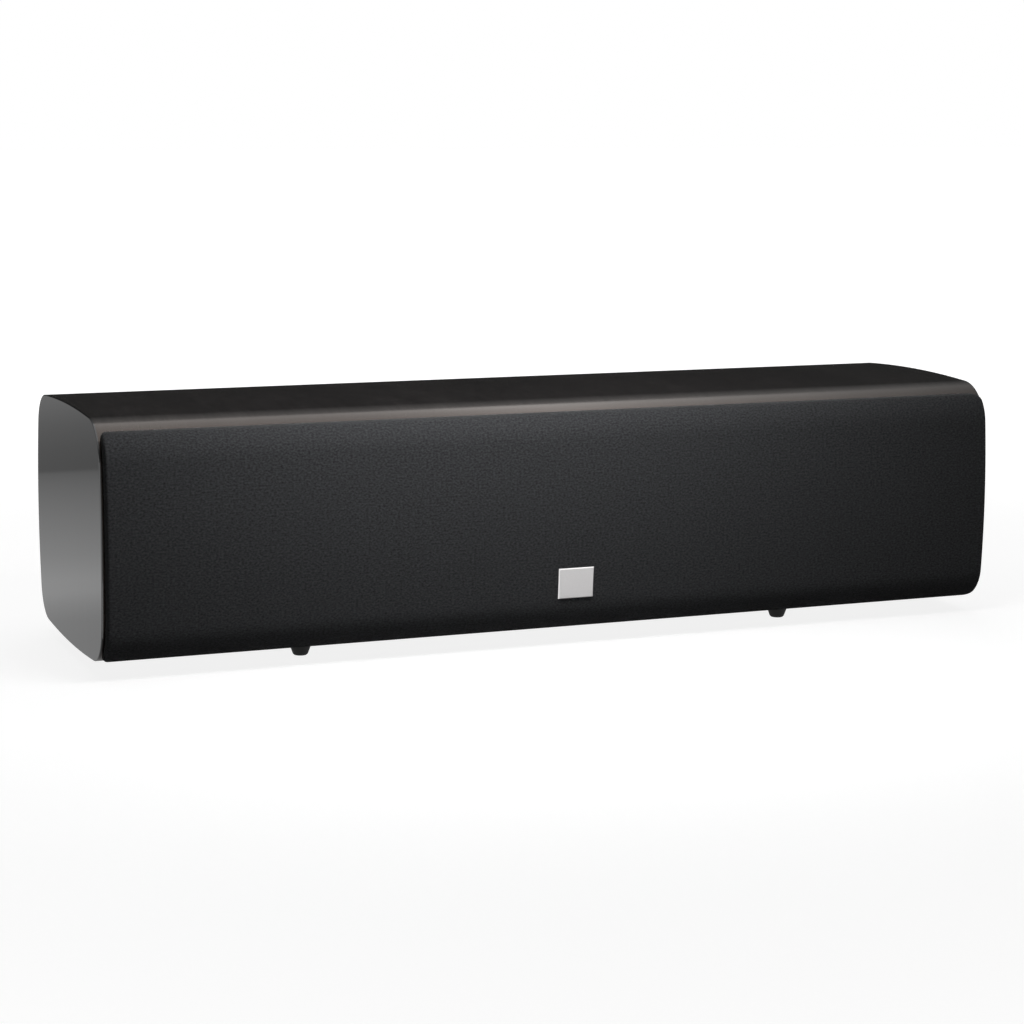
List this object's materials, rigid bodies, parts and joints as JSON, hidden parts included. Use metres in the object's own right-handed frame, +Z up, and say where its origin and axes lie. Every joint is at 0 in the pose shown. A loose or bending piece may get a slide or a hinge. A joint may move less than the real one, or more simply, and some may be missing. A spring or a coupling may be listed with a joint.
{
  "type": "center channel speaker",
  "caption": "Long low loudspeaker with a bowed wood-grain cabinet, gloss end panels, a pull-off cloth grille over its drivers, rear ports and binding posts.",
  "frame": {"origin": "on the floor under the middle of the whole part's box", "axes": "+X along the length to the right seen from the front, +Y from the front to the rear, +Z up"},
  "size_m": [0.578, 0.1797, 0.1515],
  "materials": {
    "wrap": "satin dark wood-grain wrap",
    "end_panel": "gloss gunmetal",
    "baffle": "black painted board",
    "brace": "raw fibreboard",
    "black_plastic": "moulded black plastic",
    "grille_cloth": "black knit grille cloth",
    "badge": "bright bevelled plate",
    "driver_frame": "satin black",
    "cone": "graphite polymer",
    "soft_rubber": "matte rubber",
    "spider": "resin-dipped cloth",
    "copper": "enamelled copper wire",
    "steel": "plated steel",
    "ferrite": "sintered ferrite",
    "black_screw": "black zinc",
    "dome": "doped silk",
    "gold": "gold plated brass",
    "red_plastic": "clear red plastic",
    "black_gloss": "gloss black plastic",
    "circuit_board": "solder-masked board",
    "capacitor": "film sleeve",
    "resistor": "ceramic body",
    "foot": "black rubber",
    "lead_wire": "insulated copper wire"
  },
  "bodies": {
    "cabinet": {"cabinet_wrap": "wrap", "left_end_panel": "end_panel", "right_end_panel": "end_panel", "front_baffle": "baffle", "left_brace": "brace", "right_brace": "brace", "grille_sockets": "soft_rubber", "woofer_screws": "black_screw", "tweeter_faceplate": "black_plastic", "tweeter_top_plate": "steel", "tweeter_magnet": "ferrite", "tweeter_back_plate": "steel", "tweeter_screws": "black_screw", "left_port": "black_plastic", "right_port": "black_plastic", "terminal_cup": "black_plastic", "terminal_screws": "black_screw", "red_post": "gold", "black_post": "gold", "post_collars": "black_gloss", "post_lock_nuts": "gold", "crossover_board": "circuit_board", "board_screws": "steel", "crossover_coils": "copper", "crossover_capacitors": "capacitor", "crossover_resistor": "resistor", "front_left_foot": "foot", "front_right_foot": "foot", "rear_left_foot": "foot", "rear_right_foot": "foot", "foot_screws": "steel", "lead_wires": "lead_wire", "left_woofer_frame": "driver_frame", "left_woofer_surround": "soft_rubber", "left_woofer_gasket": "soft_rubber", "left_woofer_spider": "spider", "left_woofer_top_plate": "steel", "left_woofer_magnet": "ferrite", "left_woofer_back_plate": "steel", "right_woofer_frame": "driver_frame", "right_woofer_surround": "soft_rubber", "right_woofer_gasket": "soft_rubber", "right_woofer_spider": "spider", "right_woofer_top_plate": "steel", "right_woofer_magnet": "ferrite", "right_woofer_back_plate": "steel"},
    "grille": {"grille_frame": "black_plastic", "grille_cloth": "grille_cloth", "badge_plate": "badge"},
    "left_woofer_cone": {"left_woofer_cone": "cone", "left_woofer_dust_cap": "cone", "left_woofer_voice_coil": "copper"},
    "right_woofer_cone": {"right_woofer_cone": "cone", "right_woofer_dust_cap": "cone", "right_woofer_voice_coil": "copper"},
    "tweeter_diaphragm": {"tweeter_dome": "dome", "tweeter_voice_coil": "copper"},
    "red_nut": {"red_thumb_nut": "red_plastic"},
    "black_nut": {"black_thumb_nut": "black_gloss"}
  },
  "joints": [
    {"name": "grille_pull", "type": "slide", "parent": "cabinet", "child": "grille", "axis": [0, -1, 0], "range_m": [0, 0.06]},
    {"name": "left_woofer_stroke", "type": "slide", "parent": "cabinet", "child": "left_woofer_cone", "axis": [0, -1, 0], "range_m": [-0.003, 0.003], "stiffness_N_per_m": 900, "deforming": ["left_woofer_surround", "left_woofer_spider"]},
    {"name": "right_woofer_stroke", "type": "slide", "parent": "cabinet", "child": "right_woofer_cone", "axis": [0, -1, 0], "range_m": [-0.003, 0.003], "stiffness_N_per_m": 900, "deforming": ["right_woofer_surround", "right_woofer_spider"]},
    {"name": "tweeter_stroke", "type": "slide", "parent": "cabinet", "child": "tweeter_diaphragm", "axis": [0, -1, 0], "range_m": [-0.0004, 0.0004], "stiffness_N_per_m": 700},
    {"name": "red_nut_turn", "type": "hinge", "parent": "cabinet", "child": "red_nut", "pos_m": [0.0095, 0.07653, 0.07945], "axis": [0, 1, 0], "continuous": true},
    {"name": "black_nut_turn", "type": "hinge", "parent": "cabinet", "child": "black_nut", "pos_m": [-0.0095, 0.07653, 0.07945], "axis": [0, 1, 0], "continuous": true}
  ]
}
